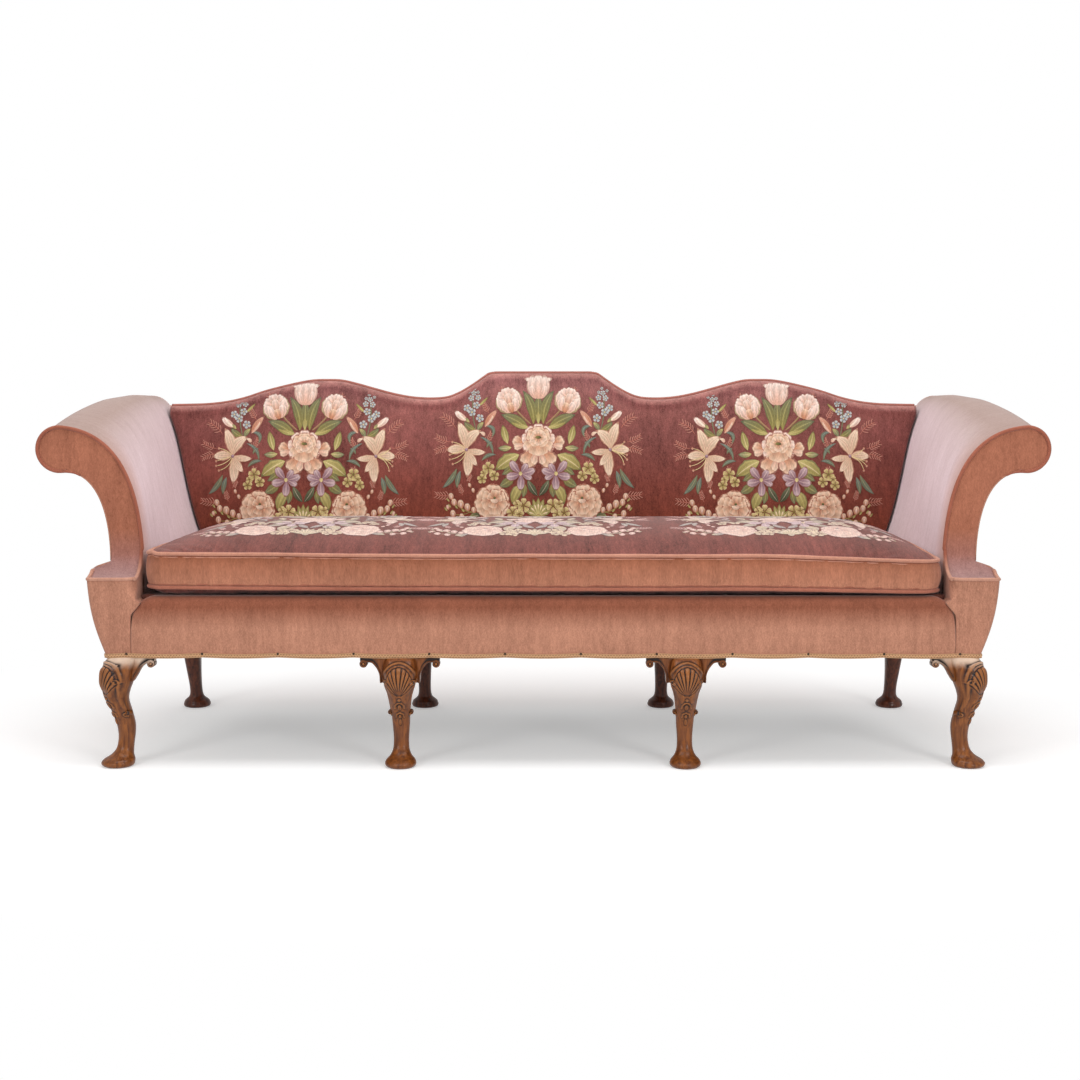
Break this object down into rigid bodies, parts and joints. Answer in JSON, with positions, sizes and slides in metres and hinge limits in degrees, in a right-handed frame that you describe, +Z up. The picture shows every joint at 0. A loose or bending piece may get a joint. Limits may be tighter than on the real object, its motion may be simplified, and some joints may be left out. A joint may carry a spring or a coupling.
{
  "type": "sofa",
  "caption": "Long sofa with a serpentine back, out-scrolled arms, a loose seat cushion and cabriole legs with carved knees.",
  "frame": {"origin": "on the floor, under the middle of the box round the sofa", "axes": "+X to the right along the length as seen from the front, +Y toward the back, +Z up"},
  "size_m": [2.4, 0.8773, 0.957],
  "materials": {
    "frame_beech": "planed and glued, hidden",
    "carved_walnut": "carved and wax polished",
    "dark_walnut": "polished",
    "jute": "woven jute",
    "spring_steel": "drawn wire",
    "stuffing": "layered stuffing",
    "black_cotton": "plain cotton",
    "salmon_velvet": "faded velvet with a fine stripe",
    "pink_velvet": "faded velvet",
    "wine_velvet": "velvet with a floral design",
    "mauve_velvet": "velvet with a floral design",
    "piping_velvet": "corded piping",
    "gimp": "flat braid",
    "nail_bronze": "darkened"
  },
  "bodies": {
    "frame": {"front_seat_rail": "frame_beech", "rear_seat_rail": "frame_beech", "left_seat_rail": "frame_beech", "right_seat_rail": "frame_beech", "seat_cross_rails": "frame_beech", "corner_blocks": "frame_beech", "left_arm_front_post": "frame_beech", "right_arm_front_post": "frame_beech", "left_arm_rear_post": "frame_beech", "right_arm_rear_post": "frame_beech", "left_arm_top_rail": "frame_beech", "right_arm_top_rail": "frame_beech", "left_back_post": "frame_beech", "right_back_post": "frame_beech", "inner_back_posts": "frame_beech", "back_top_rail": "frame_beech", "back_lower_rail": "frame_beech", "far_left_front_leg": "carved_walnut", "mid_left_front_leg": "carved_walnut", "mid_right_front_leg": "carved_walnut", "far_right_front_leg": "carved_walnut", "middle_knee_brackets": "carved_walnut", "corner_knee_brackets": "carved_walnut", "far_left_rear_leg": "dark_walnut", "mid_left_rear_leg": "dark_walnut", "mid_right_rear_leg": "dark_walnut", "far_right_rear_leg": "dark_walnut", "seat_webbing": "jute", "seat_springs": "spring_steel", "seat_hessian": "jute", "seat_stuffing": "stuffing", "seat_deck_cover": "mauve_velvet", "front_border_cover": "salmon_velvet", "dust_cover": "black_cotton", "left_arm_stuffing": "stuffing", "right_arm_stuffing": "stuffing", "left_inside_arm_cover": "pink_velvet", "right_inside_arm_cover": "pink_velvet", "left_outside_arm_cover": "salmon_velvet", "right_outside_arm_cover": "salmon_velvet", "left_arm_facing": "salmon_velvet", "right_arm_facing": "salmon_velvet", "left_arm_piping": "piping_velvet", "right_arm_piping": "piping_velvet", "left_side_border": "salmon_velvet", "right_side_border": "salmon_velvet", "left_ear_pad": "mauve_velvet", "right_ear_pad": "mauve_velvet", "back_pad": "stuffing", "inside_back_cover": "wine_velvet", "outside_back_cover": "salmon_velvet", "back_top_piping": "piping_velvet", "gimp_braid": "gimp", "trim_nails": "nail_bronze"},
    "cushion": {"cushion_filling": "stuffing", "cushion_top_cover": "mauve_velvet", "cushion_bottom_cover": "mauve_velvet", "cushion_boxing": "salmon_velvet", "cushion_piping": "piping_velvet"}
  },
  "joints": [
    {"name": "cushion_lift", "type": "slide", "parent": "frame", "child": "cushion", "axis": [0, 0, 1], "range_m": [0, 0.6]}
  ]
}
